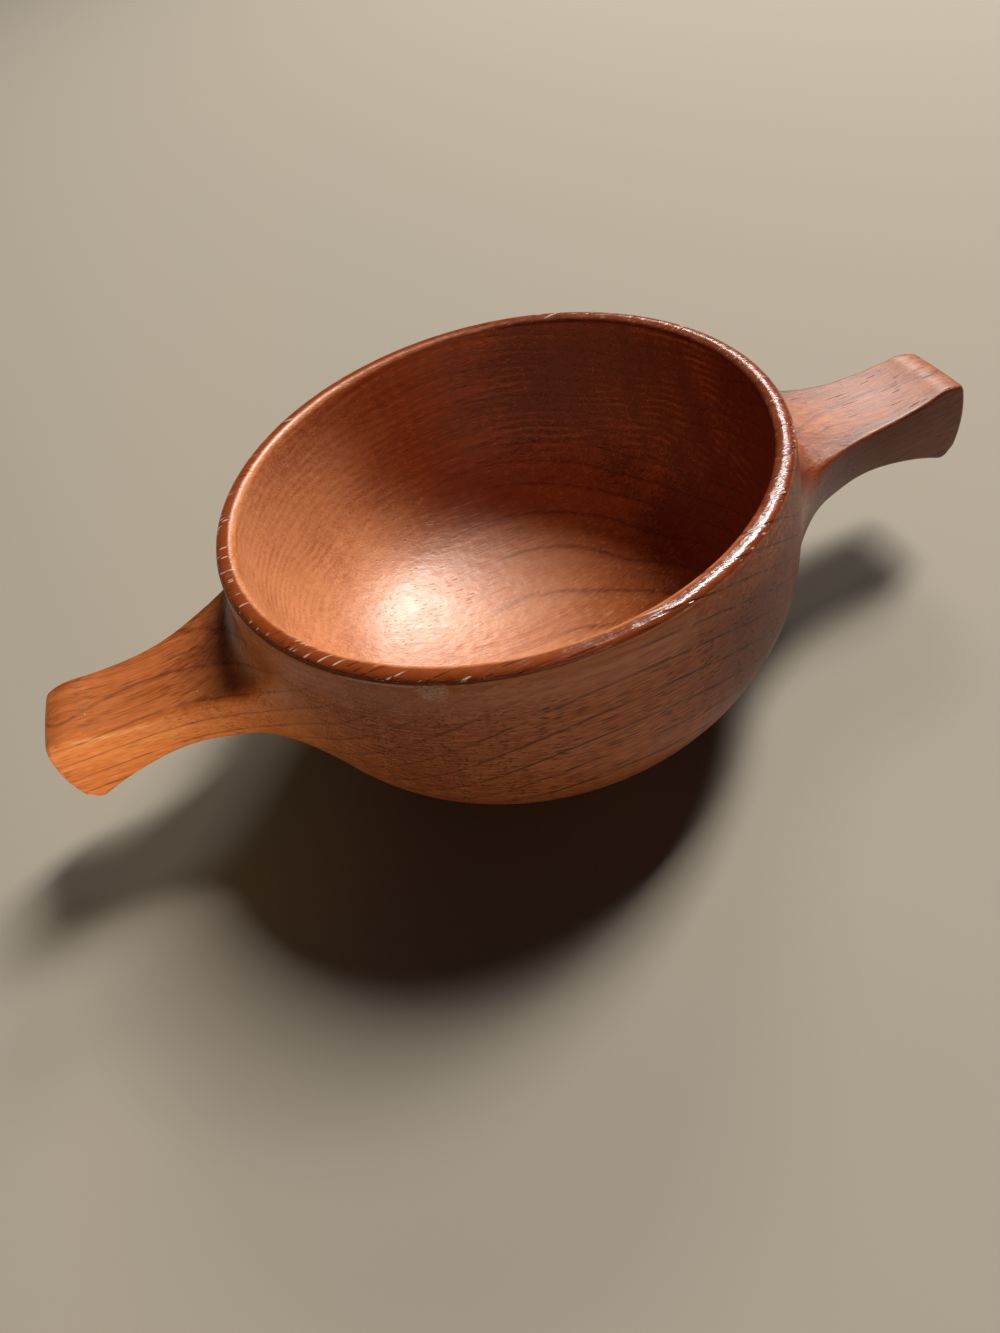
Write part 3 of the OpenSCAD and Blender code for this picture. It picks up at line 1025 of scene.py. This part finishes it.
# %% Gloss
ROUGH_LEAST, ROUGH_SHEEN = 0.20, 0.22
ROUGH_TURNED, ROUGH_INSIDE = 0.12, 0.11
DRY_ALONG = (45, 60, 0.0, 0.15)
PORE_ROUGH, CREASE_ROUGH = 0.2, 0.45
RIM_POLISH, RIM_TURNED = -0.10, -0.10
FILM_ALONG, FILM_HEIGHT = (22, 2), (RIM_LOW, RIM_LOW - 3, 0.0, 0.9)
FILM_ROUGHNESS = 0.53
SPECULAR = 0.48


def set_gloss(shader, spot, grain, turned):
    """Set the roughness of the wood and the film of oil in the hollow."""
    rough = grain.sheen * ROUGH_SHEEN + ROUGH_LEAST + by_side(spot, ROUGH_TURNED * turned, ROUGH_INSIDE)
    rough = rough + spot.level * ramp(spot.along, *DRY_ALONG) + grain.pores * PORE_ROUGH
    rough = rough + spot.rim * (RIM_POLISH + RIM_TURNED * turned) + grain.crease_shade * CREASE_ROUGH
    feed(shader.inputs["Roughness"], rough)
    film = spot.hollow * ramp(spot.along, *FILM_ALONG) * ramp(spot.height, *FILM_HEIGHT)
    feed(shader.inputs["Coat Weight"], film)
    feed(shader.inputs["Coat Roughness"], FILM_ROUGHNESS)
    feed(shader.inputs["Specular IOR Level"], SPECULAR)


print("roughness from", ROUGH_LEAST, "and a film of", FILM_ROUGHNESS)


# %% [markdown]
# What is too fine for the mesh is relief: a Bump node that reads a height in millimetres. Vessels are pits,
# fibres are faint ridges that the polished rim has nearly lost, and wax stands a little proud.

# %% Relief
FIBRE_RIDGE, FIBRE_ON_RIM = 0.012, 0.003
PORE_PIT, LINE_PIT, FLECK_PIT, TICK_PIT = -0.025, -0.03, -0.006, -0.06
WAX_PROUD, DASH_RIDGE = 0.08, 0.02


def set_relief(shader, spot, grain, turned):
    """Set the bump under the wood's own gloss and under the film of oil."""
    relief = grain.streak * ramp(spot.rim, 0.0, 1.0, FIBRE_RIDGE, FIBRE_ON_RIM) + grain.ripple
    relief = relief + grain.pores * PORE_PIT + grain.line * LINE_PIT + grain.flecks * FLECK_PIT
    relief = relief + grain.ticks * TICK_PIT + grain.wax * WAX_PROUD + grain.dashes * (DASH_RIDGE * turned)
    bump = relief.through("Bump", "Normal", {"Strength": 1.0, "Distance": mm, "Height": relief})
    feed(shader.inputs["Normal"], bump)
    feed(shader.inputs["Coat Normal"], bump)


print("ticks across the rim", -TICK_PIT, "mm deep, wax", WAX_PROUD, "mm proud")


# %% [markdown]
# One function puts the wood together. The bowl and the lugs share it, and differ in two ways only: the bowl
# shows the dashes of the lathe, and the lugs get painted shade on their upper faces on the left and a little
# painted light on the right.

# %% Oiled wood
def oiled_wood(name, turned, top_shade):
    """Reddish-brown, open-pored hardwood with an oiled satin finish and a polished rim.

    turned says how much the dashes of the lathe show outside, and top_shade how much painted shade darkens
    the upper faces on the left and, by a tenth of that, how much painted light lifts them on the right.
    """
    material, tree, shader = new_material(name)
    spot = spot_on_wood(tree)
    grain = wood_grain(spot)
    tone = wood_tone(spot, grain, turned, top_shade)
    feed(shader.inputs["Base Color"], wood_colour(spot, grain, tone, turned))
    set_gloss(shader, spot, grain, turned)
    set_relief(shader, spot, grain, turned)
    return material


bowl_wood = oiled_wood("bowl_wood", turned=1.0, top_shade=0.0)
lug_wood = oiled_wood("lug_wood", turned=0.0, top_shade=0.30)
bowl_skin.data.materials.append(bowl_wood)
lug_right_skin.data.materials.append(lug_wood)
lug_left_skin.data.materials.append(lug_wood)
print("wood has", len(bowl_wood.node_tree.nodes), "nodes")


# %% [markdown]
# The four dowels sit inside the wood, where nothing shows them, but they are pieces like the others. They
# keep their CAD meshes and get a plain pale rod wood: straight streaks along X and a dry surface.

# %% Dowels
ROD_DARK = (0.42, 0.26, 0.13, 1)
ROD_LIGHT = (0.62, 0.43, 0.24, 1)
ROD_GRAIN = (0.12, 3.0)
ROD_RIDGE, ROD_RIDGE_SHARE = 0.05 * mm, 0.5
ROD_ROUGHNESS = 0.65


def rod_wood(name):
    """Plain sanded hardwood rod with straight streaks along X."""
    material, tree, shader = new_material(name)
    streak = grained(millimetres(tree), ROD_GRAIN, FINE)
    inputs = {"Strength": ROD_RIDGE_SHARE, "Distance": ROD_RIDGE, "Height": streak}
    feed(shader.inputs["Base Color"], mix(streak, ROD_DARK, ROD_LIGHT))
    feed(shader.inputs["Normal"], streak.through("Bump", "Normal", inputs))
    feed(shader.inputs["Roughness"], ROD_ROUGHNESS)
    return material


dowel_wood = rod_wood("dowel_wood")
dowels = [piece for name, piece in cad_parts.items() if name.startswith("dowel")]
for dowel in dowels:
    dowel.data.materials.clear()
    dowel.data.materials.append(dowel_wood)
print(len(dowels), "dowels keep their CAD meshes")

# %% [markdown]
# The stage is a plain pale floor. A glossy bowl mirrors it, so it has to look the same in reflections as to
# the eye, but a pale floor also throws light up under the bowl. A Light Path node settles that: rays from the
# camera and mirrored rays see the pale colour, and all others meet a darker one.

# %% Floor
FLOOR_SIZE = 6.0
FLOOR_PALE = (0.28, 0.25, 0.205, 1)
FLOOR_BOUNCE = (0.11, 0.10, 0.09, 1)
FLOOR_ROUGHNESS = 0.9
FLOOR_SPECULAR = 0.2


def floor_material():
    """Matt pale floor that looks pale to the eye and in reflections, and gives back less light below."""
    material, tree, shader = new_material("floor")
    rays = add_node(tree, "LightPath", {}).outputs
    camera_ray, glossy_ray, transmission_ray = [
        Output(tree, rays[name]) for name in ("Is Camera Ray", "Is Glossy Ray", "Is Transmission Ray")]
    seen = larger(larger(camera_ray, glossy_ray), transmission_ray)
    feed(shader.inputs["Base Color"], mix(seen, FLOOR_BOUNCE, FLOOR_PALE))
    feed(shader.inputs["Roughness"], FLOOR_ROUGHNESS)
    feed(shader.inputs["Specular IOR Level"], FLOOR_SPECULAR)
    return material


def floor_sheet():
    """A flat square sheet at z = 0."""
    half = FLOOR_SIZE / 2
    corners = [(-half, -half, 0), (half, -half, 0), (half, half, 0), (-half, half, 0)]
    mesh = bpy.data.meshes.new("floor")
    mesh.from_pydata(corners, [], [(0, 1, 2, 3)])
    mesh.materials.append(floor_material())
    sheet = bpy.data.objects.new("floor", mesh)
    bpy.context.scene.collection.objects.link(sheet)
    return sheet


floor_sheet()
print("floor", FLOOR_SIZE, "m square")

# %% [markdown]
# The object stood in daylight from behind it on the right, which leaves a glow inside the bowl, white lines
# along the rim and a deep shadow under the right-hand lip. A tall soft panel stands for that window, and a
# lower, weaker one beside it lengthens the shine on the rim and on the right lug. At the front, a low warm
# card lights the wall a little from below, a narrow amber spot warms the side of the left lug, and a faint
# sky fills the rest.

# %% Lamps and sky
SKY = (0.78, 0.86, 1.0, 1)
SKY_STRENGTH = 0.018
DAYLIGHT = (1.0, 0.96, 0.90)
AMBER = (1.0, 0.79, 0.42)
EMBER = (1.0, 0.60, 0.34)
MOUTH_MIDDLE = Vector((0, 0, RIM_Z))
FRONT_WALL = Vector((0, -BELLY_R, RIM_Z / 2))
FROM_TIP = 6 * mm
LEFT_LUG_SIDE = Vector((-TIP_R + FROM_TIP, -TIP_W / 2, BULGE_Z))


def hang(name, kind, target, heading, height, distance, **settings):
    """Hang a lamp by its heading from +X and its height above the level, in degrees, aimed at a target."""
    data = bpy.data.lights.new(name, kind)
    for key, value in settings.items():
        setattr(data, key, value)
    lamp = bpy.data.objects.new(name, data)
    bpy.context.scene.collection.objects.link(lamp)
    turn, rise = math.radians(heading), math.radians(height)
    away = Vector((math.cos(turn) * math.cos(rise), math.sin(turn) * math.cos(rise), math.sin(rise)))
    lamp.location = target + away * distance
    lamp.rotation_euler = away.to_track_quat("Z", "Y").to_euler()
    print(name, "of", round(data.energy, 2), "W")


hang("window", "AREA", MOUTH_MIDDLE, heading=30, height=52, distance=2.0,
     shape="RECTANGLE", size=0.45, size_y=0.85, energy=69, color=DAYLIGHT)
hang("skylight", "AREA", MOUTH_MIDDLE, heading=57, height=34, distance=2.0,
     shape="RECTANGLE", size=0.55, size_y=0.36, energy=14, color=DAYLIGHT)
hang("card", "AREA", FRONT_WALL, heading=-98, height=4, distance=0.6,
     shape="RECTANGLE", size=0.5, size_y=0.06, energy=0.65, color=EMBER)
hang("glow", "SPOT", LEFT_LUG_SIDE, heading=-97, height=3, distance=0.45,
     spot_size=math.radians(11), spot_blend=1.0, shadow_soft_size=0.03, energy=12, color=AMBER)

world = bpy.data.worlds.new("sky")
bpy.context.scene.world = world
world.use_nodes = True
background = world.node_tree.nodes["Background"]
feed(background.inputs["Color"], SKY)
feed(background.inputs["Strength"], SKY_STRENGTH)
bpy.context.scene.view_settings.view_transform = "Standard"
print("sky of strength", SKY_STRENGTH)
